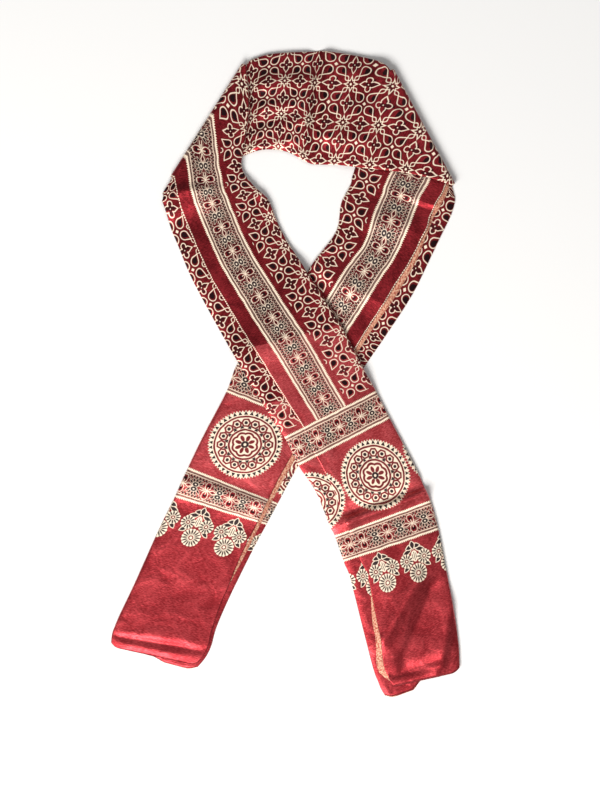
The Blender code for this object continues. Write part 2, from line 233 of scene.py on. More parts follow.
def section_of(run):
    """Each station's section: its points' plan, height and place on the cloth. Level 0 is the lowest."""
    width = np.linalg.norm(run["centre"] - run["quarter"], axis=1)
    wrap = (LEVEL[3] - LEVEL[0]) / 2
    tight = (LEVEL[1] - LEVEL[0]) / 2
    near = wrap + SHEET / 2 + 0 * width
    far = width - tight - SHEET / 2
    edge = width - run["selvedge"]
    under = width - run["under"]
    stretch = run["crease"] / (edge - near)
    turning = run["fold"] - math.pi * tight / 2
    turned = run["fold"] + math.pi * tight / 2
    tucked = turned + (far - near) * stretch
    back = CLOTH_WIDTH - (under - near) * stretch
    band = edge - SELVEDGE_BAND / stretch
    columns = []

    def flat(start, end, level, first, last, cells):
        for share in np.arange(cells) / cells:
            place = first + (last - first) * share
            columns.append((start + (end - start) * share, LEVEL[level] + 0 * width, place))

    def turn(middle, height, radius, start, end, first, last, cells):
        for share in np.arange(cells) / cells:
            angle = math.radians(start + (end - start) * share)
            place = first + (last - first) * share
            rise = height + radius * math.sin(angle) + 0 * width
            columns.append((middle + radius * math.cos(angle), rise, place))

    flat(edge, band, 3, 0 * width, SELVEDGE_BAND + 0 * width, SELVEDGE_CELLS)
    flat(band, near, 3, SELVEDGE_BAND + 0 * width, run["crease"], UPPER_CELLS)
    turn(near, STACK / 2, wrap, 90, 270, run["crease"], run["crease"] + math.pi * wrap, WRAP_CELLS)
    first = run["crease"] + math.pi * wrap
    flat(near, far, 0, first, turning, LOWER_CELLS)
    turn(far, (LEVEL[0] + LEVEL[1]) / 2, tight, -90, 90, turning, turned, TURN_CELLS)
    flat(far, near, 1, turned, tucked, INNER_CELLS)
    turn(near, STACK / 2, tight, 270, 90, tucked, back, TUCK_CELLS)
    flat(near, under, 2, back, CLOTH_WIDTH, UNDER_CELLS)
    columns.append((under, LEVEL[2] + 0 * width, CLOTH_WIDTH + 0 * width))
    across, height, place = (np.array([np.broadcast_to(column[part], width.shape) for column in columns]).T
                             for part in range(3))
    share = across / width[:, None]
    plan = run["quarter"][:, None] + share[..., None] * (run["centre"] - run["quarter"])[:, None]
    along = run[PLACES[0]][:, None] + share * (run[PLACES[1]] - run[PLACES[0]])[:, None]
    along -= run["slip"][:, None] * ease((place - INNER_FROM) / INNER_OVER)
    return {"plan": plan, "rise": height, "across": place, "along": along, "share": np.clip(share, 0, 1)}


# Creases and soft ridges of the top layer: where each line starts and ends, its height, and how far it
# falls off to its left and its right, looking from start to end. A height below 0 is a valley.
CREASE_COLUMNS = ("start", "end", "height", "left", "right")
LEFT_ARM_CREASES = (
    ((-168, 268), (-120, 271), 5.0, 12, 52),
    ((-120, 271), (-60, 276), 2.4, 12, 40),
    ((-69, 27), (0, 43), 2.2, 75, 60),
    ((0, 43), (73, 77), 2.2, 75, 60),
    ((88, -204), (203, -163), -8.0, 16, 8),
    ((64, -230), (96, -222), 4.0, 24, 12),
    ((91, -213), (204, -172), 10.0, 10, 18),
    ((-34, 262), (-15, 232), 3.2, 9, 12),
    ((-54, 345), (-54, 420), 5.0, 14, 6),
    ((-62, 290), (-60, 326), -3.0, 6, 10),
    ((143, -388), (193, -300), 7.0, 28, 22),
    ((172, -417), (212, -315), -4.4, 16, 30),
    ((228, -425), (246, -330), 4.4, 30, 10),
    ((156, -440), (243, -426), -2.5, 6, 6),
)
BAND_CREASES = (
    ((50, 474), (48, 342), -7.0, 14, 20),
    ((58, 470), (57, 350), 3.0, 24, 7),
    ((-50, 350), (41, 377), 7.0, 9, 26),
    ((-44, 332), (44, 352), 5.0, 8, 18),
    ((-34, 390), (40, 401), 7.5, 12, 30),
    ((-40, 424), (44, 428), 7.5, 22, 34),
    ((60, 350), (120, 345), 6.0, 26, 34),
    ((88, 436), (168, 425), 5.5, 34, 44),
    ((70, 392), (190, 375), 5.5, 24, 34),
    ((175, 408), (201, 328), 3.0, 6, 6),
)
RIGHT_ARM_CREASES = (
    ((143, 272), (182, 256), -1.8, 4, 4),
    ((184, 256), (230, 242), 4.5, 34, 5),
    ((140, 222), (212, 205), 6.5, 40, 44),
    ((96, 132), (150, 100), 6.0, 44, 38),
    ((45, 165), (66, 150), 3.0, 10, 26),
    ((54, 168), (76, 176), -2.4, 8, 8),
    ((-50, 10), (10, -100), 3.6, 80, 20),
    ((-150, -150), (-26, -188), 5.5, 9, 42),
)
VALLEY_DEPTH = 4.0  # deeper ones would push the layers through each other
CREASE_SHARPNESS = 1.5


def crease_height(plan, creases):
    """How far the creases raise or lower each point of a run's top layer."""
    height = np.zeros(plan.shape[:-1])
    for row in creases:
        crease = dict(zip(CREASE_COLUMNS, row))
        start, end = np.array(crease["start"], float), np.array(crease["end"], float)
        along = (end - start) / np.linalg.norm(end - start)
        offset = plan - start
        side = offset[..., 1] * along[0] - offset[..., 0] * along[1]
        reach = np.where(side > 0, crease["left"], crease["right"])
        nearness = np.clip(1 - distance_to(plan, start, end) / reach, 0, 1)
        height += crease["height"] * nearness**CREASE_SHARPNESS
    return height


END_EASE = 44.0
END_ROUNDING, END_ROUNDED = 7.0, 15.0  # how far a corner is drawn in, and over what width
UPPER_FROM, UPPER_OVER = 0.3, 0.3  # shares of the stack's height
SPLIT_FROM, SPLIT_OVER = 0.5, 0.15  # shares of the strip's width
LOWER_SHARE = 0.8  # the lower layers are held back by this share on the quarter side
LOWER_OUT = 3.0  # and they reach out this far on the centre side


def end_shaped(run, grid):
    """The plan of a tail's end: rounded corners, and upper layers that stay back on the centre side."""
    row, inner = run["end"]
    inward = run["quarter"][inner] + run["centre"][inner] - run["quarter"][row] - run["centre"][row]
    inward /= np.linalg.norm(inward)
    width = np.linalg.norm(run["centre"][row] - run["quarter"][row])
    from_side = np.minimum(grid["share"], 1 - grid["share"]) * width
    pull = END_ROUNDING * np.clip(1 - from_side / END_ROUNDED, 0, 1) ** 2
    upper = ease((grid["rise"] / STACK - UPPER_FROM) / UPPER_OVER)
    top_pull = run["held_back"] * grid["share"]
    split = ease((grid["share"] - SPLIT_FROM) / SPLIT_OVER)
    low_pull = run["held_back"] * LOWER_SHARE * (1 - split) - LOWER_OUT
    pull += low_pull + (top_pull - low_pull) * upper
    away = distance_to(grid["plan"], run["quarter"][row], run["centre"][row])
    return grid["plan"] + (pull * (1 - ease(away / END_EASE)))[..., None] * inward


# A run climbs over the runs that it lies on and is pressed flat under those that lie on it.
RUN_AIR = 0.8
CLIMB = STACK + RUN_AIR
CLIMB_LENGTH = 46.0
PRESS_LENGTH = 24.0
SLANT_EASE = 40.0
SLANT_CELLS = 12
LOFT_FULLNESS = 0.8


def outer_depth(rise, face_up):
    """How far each layer's turn stands off the middle of a slanting fold."""
    return RUN_AIR / 2 + (rise if face_up else STACK - rise)


def placed(run):
    """The run's grid where it lies: its height on the runs below, its swell and its creases."""
    grid = section_of(run)
    if "end" in run:
        grid["plan"] = end_shaped(run, grid)
    plan, rise = grid["plan"], grid["rise"]
    height = rise if run["face_up"] else STACK - rise
    climb = np.zeros(rise.shape)
    for lower in run["lies_on"]:
        away = distance_outside(plan, lower["outline"])
        climb = np.maximum(climb, CLIMB * (1 - ease(away / CLIMB_LENGTH)))
    clear = np.full(rise.shape, np.inf)
    for upper in run["lies_under"]:
        clear = np.minimum(clear, distance_outside(plan, upper["outline"]))
    for row, face_up, side in run["slants"]:
        away = distance_to(plan, run["quarter"][row], run["centre"][row])
        if face_up == run["face_up"]:
            clear = np.minimum(clear, away)
        turned = side * math.pi / 2 * outer_depth(rise, face_up)
        grid["along"] += turned * (1 - ease(away / SLANT_EASE))
    freedom = ease(clear / PRESS_LENGTH)
    layer = (height - SHEET / 2) / (STACK - SHEET)
    arch = np.sin(math.pi * grid["share"]) ** LOFT_FULLNESS
    relief = run["loft"][:, None] * arch + crease_height(plan, run["creases"])
    swell = run["lift"][:, None] + layer * np.maximum(relief, -VALLEY_DEPTH)
    grid["points"] = np.dstack([plan, height + climb + freedom * swell])
    return grid


def slant_grid(run, grid, row, face_up, inside):
    """The rows round a slanting fold, which turn the strip over about a line on the table."""
    plan, rise = grid["plan"][row], grid["rise"][row]
    along = run["centre"][row] - run["quarter"][row]
    outward = np.array([along[1], -along[0]]) / np.linalg.norm(along)
    outward *= np.sign(outward @ (run["quarter"][row] - inside))
    depth = outer_depth(rise, face_up)
    middle = grid["along"][row] + math.pi / 2 * depth
    points, places = [], []
    for cell in range(1, SLANT_CELLS):
        angle = math.pi * cell / SLANT_CELLS
        level = STACK + RUN_AIR / 2 + depth * math.cos(angle)
        points.append(np.column_stack([plan + (depth * math.sin(angle))[:, None] * outward, level]))
        places.append(middle + (angle - math.pi / 2) * depth)
    across = np.repeat(grid["across"][row][None], SLANT_CELLS - 1, axis=0)
    return {"points": np.array(points), "along": np.array(places), "across": across}


# The three runs and which lies on which. slants has each slanting fold's row, whether it turns the face
# that is up, and which way the cloth runs round it. held_back is for a tail's upper layers.
left, band, right = (
    run_of(rows) for rows in (RIGHT_TAIL_TO_LEFT_SHOULDER, TOP_BAND, RIGHT_SHOULDER_TO_LEFT_TAIL))
left.update(face_up=True, lies_on=(band, right), lies_under=(), slants=((-1, True, -1),))
left.update(creases=LEFT_ARM_CREASES, end=(0, 4), held_back=14.0)
band.update(face_up=False, lies_on=(right,), lies_under=(left,), slants=((0, True, 1), (-1, False, -1)))
band.update(creases=BAND_CREASES)
right.update(face_up=True, lies_on=(), lies_under=(left, band), slants=((0, False, 1),))
right.update(creases=RIGHT_ARM_CREASES, end=(-1, -5), held_back=6.0)
left_grid, band_grid, right_grid = (placed(run) for run in (left, band, right))
loop_centre = band["outline"].mean(0)
grids = (
    left_grid,
    slant_grid(left, left_grid, -1, True, loop_centre),
    band_grid,
    slant_grid(band, band_grid, -1, False, loop_centre),
    right_grid,
)
points, along, across = (
    np.concatenate([grid[part] for grid in grids]) for part in ("points", "along", "across"))
rows, columns = along.shape
points[..., 2] += max(0.0, SHEET / 2 - points[..., 2].min())
corner = np.arange(rows * columns).reshape(rows, columns)
faces = np.stack([corner[:-1, :-1], corner[:-1, 1:], corner[1:, 1:], corner[1:, :-1]], axis=-1).reshape(-1, 4)

cloth_mesh = bpy.data.meshes.new("stole_cloth")
cloth_mesh.from_pydata((points.reshape(-1, 3) * MM).tolist(), [], faces.tolist())
cloth_mesh.shade_smooth()
print_place = cloth_mesh.attributes.new("print_place", "FLOAT_VECTOR", "POINT")
flat_place = np.column_stack([across.ravel(), along.ravel(), np.zeros(along.size)])
print_place.data.foreach_set("vector", flat_place.ravel())
cloth = bpy.data.objects.new("stole_cloth", cloth_mesh)
bpy.context.scene.collection.objects.link(cloth)

# The block print on the satin, in madder red, iron black and the cream of the cloth where the resist lay.
# The shader draws it from each point's place on the flat cloth: across from the upper selvedge, along
# from the right tail's end, and end from the nearer end. Places and sizes are in units of UNIT.

UNIT = 1.46  # millimetres
LENGTH_UNITS = CLOTH_LENGTH / UNIT
BORDER_NEAR_END = (157.0, 190.0)
BORDER_FAR = (274.0, 307.0)
SIDE_BORDER_WIDTH = (15.0, 51.0)
FIELD_EDGE = 54.0
INK_BLEED = 0.5


class Number:
    """A number that the shader works out at each point. Sums and shapes made of numbers add Math nodes."""

    def __init__(self, socket):
        self.socket = socket

    def math(self, operation, *others, clamp=False):
        tree = self.socket.id_data
        node = tree.nodes.new("ShaderNodeMath")
        node.operation = operation
        node.use_clamp = clamp
        for slot, value in zip(node.inputs, (self,) + others):
            if isinstance(value, Number):
                tree.links.new(value.socket, slot)
            else:
                slot.default_value = value
        return Number(node.outputs[0])

    def __add__(self, other):
        return self.math("ADD", other)

    def __sub__(self, other):
        return self.math("SUBTRACT", other)

    def __rsub__(self, other):
        return self.math("MULTIPLY_ADD", -1.0, other)

    def __mul__(self, other):
        return self.math("MULTIPLY", other)

    def plus(self, factor, offset):
        return self.math("MULTIPLY_ADD", factor, offset)

    def least(self, other):
        return self.math("MINIMUM", other)

    def most(self, other):
        return self.math("MAXIMUM", other)

    def size(self):
        return self.math("ABSOLUTE")

    def reach(self, other):
        """The distance from nought of the point (self, other)."""
        return (self * self + other * other).math("SQRT")

    def angle(self, other):
        return self.math("ARCTAN2", other)

    def mirrored(self, pitch):
        """Rises and falls between 0 and half the pitch, 0 at every whole pitch."""
        return self.math("PINGPONG", pitch / 2)

    def repeated(self, pitch):
        """The distance from the nearest whole pitch, below 0 before it."""
        return self.math("WRAP", pitch / 2, -pitch / 2)

    def below(self, limit):
        return self.math("LESS_THAN", limit)

    def above(self, limit):
        return self.math("GREATER_THAN", limit)

    def chosen(self, one, other):
        """`one` where this is 1 and `other` where it is 0."""
        return self.math("MULTIPLY_ADD", one - other, other)

    def filled(self, margin=0.0):
        """1 inside the shape whose edge distance this is, 0 outside it."""
        return self.math("MULTIPLY_ADD", -1 / INK_BLEED, 0.5 + margin / INK_BLEED, clamp=True)

    def line(self, half_width):
        """1 on the outline of the shape whose edge distance this is."""
        return (self.size() - half_width).filled()


class Print:
    """The cream and black parts of the print so far. Each new shape covers those before it."""

    def __init__(self, start):
        self.cream = start * 0.0
        self.black = start * 0.0

    def draw_cream(self, shape):
        self.cream = self.cream.most(shape)
        self.black = self.black * (1.0 - shape)

    def draw_black(self, shape):
        self.black = self.black.most(shape)

    def draw_maroon(self, shape):
        self.clear(shape)
        self.black = self.black.most(shape * 0.5)

    def clear(self, shape):
        self.cream = self.cream * (1.0 - shape)
        self.black = self.black * (1.0 - shape)


TRELLIS_PITCH = 35.0
STAR_ACROSS = 84.5
STAR_ALONG = 340.0
FIELD_GAP = 5.0
BORDER_SIDE_CLEAR = 60.0  # no links or stars between the first flowers and the side border
PETAL = (10.0, 17.0, 4.0)  # a drop's tip, the middle of its round end, and that end's radius
POINTED_LOBE = (8.4, 3.4, 2.5)
ROUND_LOBE = (3.8, 2.5)  # how far out its middle lies, and its radius
QUATREFOIL_MIDDLE = 3.1
PETAL_INSET, QUATREFOIL_INSET, STAR_INSET = 1.5, 0.9, 0.3  # how far the dark stays inside its outline
QUATREFOIL_DARK, STAR_DARK = 0.75, 0.45
DIAGONAL = math.sqrt(0.5)
LINK = (4.0, 10.4)  # where the twisted link between a star and a petal starts and ends
LINK_SWING = 1.8
WAVE_START, WAVE_LENGTH = 4.5, 5.5
LONG_RAY, SHORT_RAY = (0.94, 0.35, 2.28), (0.86, 0.52, 2.5)  # a ray's two slopes and its width at the heart
STAR_HEART, STAR_DOT = 3.2, 1.1
FLOWER_DIAMOND, QUATREFOIL_DIAMOND = 1.7, 0.7
THREAD = 0.42  # half the width of a cream line
FINE_THREAD = 0.4
BLOCK_SLIP = 2.2  # how far the black block was laid beside the cream outlines on the band
BLOCK_SHIFT = 0.5
SLIP_FROM, SLIP_TO, SLIP_STEP = 735.0, 905.0, 30.0


def drop(along, side, tip, middle, radius):
    """The edge distance of a drop on the line `along`, from its point at tip to a round end about middle."""
    length = abs(middle - tip)
    sine = radius / length
    cosine = math.sqrt(1 - sine * sine)
    from_tip = (along - tip) * (1.0 if middle > tip else -1.0)
    round_end = (along - middle).reach(side) - radius
    straight = side * cosine - from_tip * sine
    near_tip = (from_tip * cosine + side * sine).below(length * cosine)
    return near_tip.chosen(straight, round_end)


def trellis_fold(across, along):
    """Distances from the nearest star of the trellis, the longer one first."""
    u = (across - STAR_ACROSS).mirrored(TRELLIS_PITCH)
    v = (along - STAR_ALONG).mirrored(TRELLIS_PITCH)
    return u.most(v), u.least(v)


def petals_and_quatrefoils(longer, shorter):
    """The edge distances of the petals round each flower and of the quatrefoils between two stars."""
    petal = drop((longer + shorter) * DIAGONAL, (longer - shorter) * DIAGONAL, *PETAL)
    off_middle = TRELLIS_PITCH / 2 - longer
    pointed = drop(off_middle, shorter, *POINTED_LOBE)
    rounded = off_middle.reach(shorter - ROUND_LOBE[0]) - ROUND_LOBE[1]
    middle = off_middle.reach(shorter) - QUATREFOIL_MIDDLE
    return petal, pointed.least(rounded).least(middle)


def draw_field(ink, across, along, end):
    """The trellis: flowers of four drops round a small diamond, linked to stars, with quatrefoils between."""
    start = (along - SLIP_FROM).math("MULTIPLY", 1 / SLIP_STEP, clamp=True)
    finish = (along - SLIP_TO).math("MULTIPLY", 1 / SLIP_STEP, clamp=True)
    slipped = along - (start - finish) * BLOCK_SLIP - BLOCK_SHIFT
    longer, shorter = trellis_fold(across, slipped)
    petal, quatrefoil = petals_and_quatrefoils(longer, shorter)
    ink.draw_black(petal.filled(-PETAL_INSET))
    ink.draw_black(quatrefoil.filled(-QUATREFOIL_INSET) * QUATREFOIL_DARK)
    longer, shorter = trellis_fold(across, along)
    diagonal, off = (longer + shorter) * DIAGONAL, (longer - shorter) * DIAGONAL
    # The link is half a wave, and its mirror image makes the other strand.
    strand = (diagonal - WAVE_START).math("MULTIPLY", math.pi / WAVE_LENGTH).math("SINE")
    linked = across.above(BORDER_SIDE_CLEAR)
    on_link = diagonal.above(LINK[0]) * diagonal.below(LINK[1]) * linked
    link = (off - strand * LINK_SWING).line(THREAD) * on_link
    # The star has four long rays and four short ones round a heart.
    middle = longer.reach(shorter)
    long_ray = shorter * LONG_RAY[0] + longer * LONG_RAY[1] - LONG_RAY[2]
    short_ray = off * SHORT_RAY[0] + diagonal * SHORT_RAY[1] - SHORT_RAY[2]
    star = long_ray.least(short_ray).least(middle - STAR_HEART)
    ink.draw_black(star.filled(-STAR_INSET) * linked * STAR_DARK)
    ink.draw_cream(star.line(THREAD) * linked)
    ink.draw_cream((middle - STAR_DOT).filled() * linked)
    ink.draw_cream(link)
    petal, quatrefoil = petals_and_quatrefoils(longer, shorter)
    ink.draw_cream(petal.line(THREAD))
    ink.draw_cream(quatrefoil.line(FINE_THREAD))
    to_flower = (TRELLIS_PITCH / 2 - longer) + (TRELLIS_PITCH / 2 - shorter)
    ink.draw_cream((to_flower - FLOWER_DIAMOND).filled())
    to_quatrefoil = (TRELLIS_PITCH / 2 - longer) + shorter
    ink.draw_cream((to_quatrefoil - QUATREFOIL_DIAMOND).filled())
    ink.clear(end.below(BORDER_FAR[1] + FIELD_GAP))


FIGURE_PITCH = 25.2
CROSS_FIGURE = 46.9  # where the cross borders' first figure lies, across the cloth
SIDE_FIGURE = 337.0
CROSS_HALF = 16.5
SIDE_HALF = 18.0
CROSS_DEPTH, SIDE_DEPTH = 0.2, 0.45  # how dark the ground of the border's middle is
INNER_EDGE = 5.6  # how far the row of figures stays back from the border's edge
SCROLL_PITCH = 3.15
SCROLL_IN, SCROLL_SLOPE, SCROLL_RISE = 8.4, 0.5, 1.35
SCROLL_BAND, SCROLL_CREAM = (8.2, 2.4), 0.85
DOT_SHIFT, DOT_IN, DOT_RADIUS = 1.57, 7.4, 0.95
SEED_TURN, FAN_TURN = 0.44, 1.2  # radians between the seeds of a fan, and from its middle to its ends
SEED_RING, SEED_STRETCH = 6.5, (1.5, 0.6)
SEED_CLEAR, SEED_OUTLINE, SEED_BLACK, SEED_LINE = 1.75, 1.5, 1.3, 0.24
LOOP_SIDE, LOOP_SHIFT, LOOP_STRETCH = 5.4, 0.8, 0.55
LOOP_RADIUS, LOOP_BLACK = 2.2, 0.9
KNOT_RADIUS, RAY_REACH, RAY_HALF, RAY_LEAN = 2.6, 4.2, 0.34, 0.7
LEAF_ALONG, LEAF_REACH, LEAF_HALF, LEAF_TAPER = 6.4, 4.4, 1.9, 0.42
LEAF_LINE, LEAF_INSET = 0.36, 1.2
STEM_SIDE, STEM_ALONG, STEM_REACH, STEM_HALF = 1.1, 8.6, 3.2, 0.34
EYE_SIDE, EYE_STRETCH = 2.5, 0.8
EYE_RIM, EYE_BLACK, EYE_LIGHT = 2.9, 2.45, 0.7
TOOTH_PITCH, TOOTH_SLOPE, TOOTH_FOOT = 1.75, 1.7, 2.7
EDGE_LINE, EDGE_TINT = (5.2, 0.4), (3.75, 1.0, 0.3)  # places inside the edge, half widths and strength
DASH_PITCH, DASH_LINE, DASH_GAP = 1.3, (3.8, 0.7), 0.28
LACE = 0.26  # half the width of the finest cream lines
STITCH_PITCH, STITCH_GAP, STITCH_LINE = 2.2, 0.35, (0.8, 0.45)


def draw_border(ink, side, along, half_width, depth):
    """A border: cream teeth, ticks between two lines, and a row of figures with a pair of eyes each."""
    edge = side - half_width
    step = along.repeated(FIGURE_PITCH)
    ink.draw_black((edge + INNER_EDGE).below(0.0) * depth)
    # A scroll with a dot in each turn, along the inside of the edge.
    scroll = along.mirrored(SCROLL_PITCH) + (edge + SCROLL_IN).size() * SCROLL_SLOPE - SCROLL_RISE
    ink.draw_cream(scroll.line(LACE) * (edge + SCROLL_BAND[0]).line(SCROLL_BAND[1]) * SCROLL_CREAM)
    dot_along = (along + DOT_SHIFT).mirrored(SCROLL_PITCH)
    ink.draw_black((dot_along.reach(edge + DOT_IN) - DOT_RADIUS).filled())
    # A fan of dark seeds round each figure.
    middle = side.reach(step)
    turn = step.angle(side)
    seed_off = turn.mirrored(SEED_TURN) * middle
    seed = (seed_off * SEED_STRETCH[0]).reach((middle - SEED_RING) * SEED_STRETCH[1])
    fan = turn.line(FAN_TURN)
    ink.clear((seed - SEED_CLEAR).filled() * fan)
    ink.draw_cream((seed - SEED_OUTLINE).line(SEED_LINE) * fan)
    ink.draw_black((seed - SEED_BLACK).filled() * fan)
    # Between two figures, two loops and a knot with rays.
    to_knot = step.size() - FIGURE_PITCH / 2
    loop = ((side - LOOP_SIDE) * LOOP_STRETCH).reach(to_knot + LOOP_SHIFT)
    ink.clear((loop - LOOP_RADIUS).filled())
    ink.draw_cream((loop - LOOP_RADIUS).line(LACE))
    ink.draw_black((loop - LOOP_BLACK).filled())
    knot = side.reach(to_knot)
    rays = side.least(to_knot.size()).least((side + to_knot).size() * RAY_LEAN)
    ink.clear((knot - KNOT_RADIUS).filled())
    ink.draw_cream((rays - RAY_HALF).filled() * knot.below(RAY_REACH))
    # A leaf on one side of the figure, a stem on the other, and a pair of eyes in its middle.
    leaf = side + (step - LEAF_ALONG).size() * LEAF_TAPER - LEAF_HALF
    on_leaf = (step - LEAF_ALONG).line(LEAF_REACH)
    ink.clear(leaf.filled() * on_leaf)
    ink.draw_cream(leaf.line(LEAF_LINE) * on_leaf)
    ink.draw_black((leaf + LEAF_INSET).filled() * on_leaf)
    ink.draw_cream((side - STEM_SIDE).line(STEM_HALF) * (step + STEM_ALONG).line(STEM_REACH))
    eye = (side - EYE_SIDE).reach(step * EYE_STRETCH)
    ink.draw_cream((eye - EYE_RIM).filled())
    ink.draw_black((eye - EYE_BLACK).filled())
    ink.draw_cream((eye - EYE_LIGHT).filled())
    # Teeth and a dashed line along the edge, on plain red.
    teeth = along.mirrored(TOOTH_PITCH)
    ink.clear((edge + INNER_EDGE).above(0.0))
    ink.draw_cream((edge + teeth * TOOTH_SLOPE).filled() * (edge + TOOTH_FOOT).above(0.0))
    ink.draw_cream((edge + EDGE_LINE[0]).line(EDGE_LINE[1]))
    ink.draw_cream((edge + EDGE_TINT[0]).line(EDGE_TINT[1]) * EDGE_TINT[2])
    dash = along.mirrored(DASH_PITCH).above(DASH_GAP)
    ink.draw_black((edge + DASH_LINE[0]).line(DASH_LINE[1]) * dash)


def draw_cross_borders(ink, across, along, end):
    """The two borders that run from edge to edge at each end."""
    near = (sum(BORDER_NEAR_END) / 2 - end).size()
    far = (sum(BORDER_FAR) / 2 - end).size()
    draw_border(ink, near.least(far), across - CROSS_FIGURE, CROSS_HALF, CROSS_DEPTH)


def draw_side_border(ink, across, along, end):
    """The long border beside the upper selvedge, and the cream stitches of the selvedge itself."""
    side = (across - sum(SIDE_BORDER_WIDTH) / 2).size()
    draw_border(ink, side, along - SIDE_FIGURE, SIDE_HALF, SIDE_DEPTH)
    stitch = along.mirrored(STITCH_PITCH).above(STITCH_GAP)
    ink.draw_cream((across - STITCH_LINE[0]).line(STITCH_LINE[1]) * stitch)


ROUNDEL_PITCH = 72.0
ROUNDEL_FIRST = 46.0
ROUNDEL_ALONG = 232.0
ROUNDEL_RADIUS = 36.8
ROUNDEL_BESIDE = 15.0
TEETH, SPIKES, CELLS, PETALS = 76, 38, 16, 8
RIM_RADIUS, TEETH_RADIUS, TOOTH_DEPTH = 35.9, 35.0, 1.5
SPIKE_TIP, SPIKE_RADIUS, SPIKE_FOOT, SPIKE_HALF, SPIKE_TAPER = 34.0, 32.0, 31.0, 0.5, 0.5
OUTER_RING = (29.2, 0.9)  # a ring's radius and half its width
INNER_RING = (15.3, 1.0)
SCALLOP_RING = (11.3, 1.1)
CELL_RADIUS, CELL_HALF, CELL_LINE, CELL_EYE = 22.7, 3.5, 0.85, 1.75
HEX_COSINE, HEX_SINE = 0.5, 0.866  # of 60 degrees
WEDGE_RADIUS, WEDGE_MIDDLE, WEDGE_FOOT, WEDGE_HALF, WEDGE_TAPER = 18.5, 17.2, 16.8, 2.0, 0.6
SCALLOP_TURN = 5.2
PETAL_RADIUS, PETAL_HALF, PETAL_STRETCH = 6.6, 1.75, 0.55
HEART_RADIUS, HEART_LIGHT = 3.6, 1.3


def draw_roundels(ink, across, along, end):
    """A row of large round motifs: a flower in the middle, a ring of eyed cells and a toothed rim."""
    x = (across - ROUNDEL_FIRST).repeated(ROUNDEL_PITCH)
    y = end - ROUNDEL_ALONG
    reach = x.reach(y)
    turn = y.angle(x)
    # The cream disc with its toothed rim, a row of black spikes and two rings.
    teeth = turn.mirrored(2 * math.pi / TEETH) * TEETH_RADIUS
    ink.draw_cream((reach + teeth * TOOTH_DEPTH - RIM_RADIUS).filled())
    spike = turn.mirrored(2 * math.pi / SPIKES) * SPIKE_RADIUS
    spike = (reach - SPIKE_TIP) * SPIKE_TAPER + spike - SPIKE_HALF
    ink.draw_black(spike.filled() * reach.above(SPIKE_FOOT))
    ink.draw_maroon((reach - OUTER_RING[0]).line(OUTER_RING[1]))
    ink.draw_maroon((reach - INNER_RING[0]).line(INNER_RING[1]))
    # The ring of six-sided cells, each with an eye, and the wedges between them.
    cell_turn = turn.mirrored(2 * math.pi / CELLS)
    cell_x = cell_turn.math("COSINE") * reach - CELL_RADIUS
    cell_y = cell_turn.math("SINE") * reach
    slanting = cell_x.size().plus(HEX_COSINE, cell_y.size() * HEX_SINE)
    hexagon = slanting.most(cell_x.size()) - CELL_HALF
    ink.draw_maroon(hexagon.line(CELL_LINE))
    ink.draw_black((cell_x.reach(cell_y) - CELL_EYE).filled())
    between = (turn + math.pi / CELLS).mirrored(2 * math.pi / CELLS)
    wedge = between * WEDGE_RADIUS + (reach - WEDGE_MIDDLE) * WEDGE_TAPER - WEDGE_HALF
    ink.draw_black(wedge.filled() * reach.above(WEDGE_FOOT))
    # The flower inside a scalloped ring.
    petal_turn = turn.mirrored(2 * math.pi / PETALS)
    scallop = (petal_turn * SCALLOP_TURN).math("COSINE")
    ink.draw_maroon((reach - scallop - SCALLOP_RING[0]).line(SCALLOP_RING[1]))
    petal_x = petal_turn.math("COSINE") * reach - PETAL_RADIUS
    petal_y = petal_turn.math("SINE") * reach
    ink.draw_maroon(((petal_x * PETAL_STRETCH).reach(petal_y) - PETAL_HALF).filled())
    ink.draw_black((reach - HEART_RADIUS).filled())
    ink.draw_cream((reach - HEART_LIGHT).filled())
    # On the left tail no other roundel shows beside the first one.
    apart = (across - ROUNDEL_FIRST).size().above(ROUNDEL_RADIUS)
    beside = apart * across.below(ROUNDEL_PITCH + ROUNDEL_BESIDE)
    ink.clear(beside * along.above(LENGTH_UNITS / 2))


POSY_PITCH = 34.0
POSY_FIRST = 19.0
POSY_TOP = 155.5
POSY_LEAVES = (  # place, turn in degrees, length and width of the leaves that both sides have
    ((10.6, 24.5), 40, 4.2, 1.8),
    ((6.6, 9.3), 22, 4.8, 1.8),
    ((3.0, 5.0), 12, 4.2, 1.9),
)
CROWN_LEAF = ((0.0, 3.6), 90, 3.8, 1.9)
LEAF_RIM = 0.8
BUD_DOWN, BUD_RADIUS, BUD_STRETCH, BUD_RIM = 14.5, 3.4, (1.1, 0.6), 0.8
VEIN_PITCH, VEIN_HALF = 1.9, 0.4
SMALL_DAISY = (9.2, 17.5, 7.2, 12)  # place, radius and petals
LARGE_DAISY = (31.5, 9.4, 16)
NOTCH_SLOPE = 3.0
SLIT_SPREAD, SLIT_OUT, SLIT_LENGTH, SLIT_STRETCH, SLIT_HALF = 0.8, 0.66, 0.25, 0.5, 0.62
DAISY_RING = (0.2, 0.5)  # its radius as a share of the daisy's, and half its width


def daisy(ink, x, y, radius, slits):
    """A daisy: a cream disc with black slits and a red ring round its middle."""
    reach = x.reach(y)
    turn = y.angle(x)
    petal_edge = turn.mirrored(2 * math.pi / slits)
    ink.draw_cream((reach + petal_edge * NOTCH_SLOPE - radius).filled())
    slit = (turn + math.pi / slits).mirrored(2 * math.pi / slits) * reach * SLIT_SPREAD
    across_slit = (reach - radius * SLIT_OUT) * (1 / (radius * SLIT_LENGTH))
    ink.draw_black((slit.reach(across_slit * SLIT_STRETCH) - SLIT_HALF).filled())
    ink.draw_maroon((reach - radius * DAISY_RING[0]).line(DAISY_RING[1]))


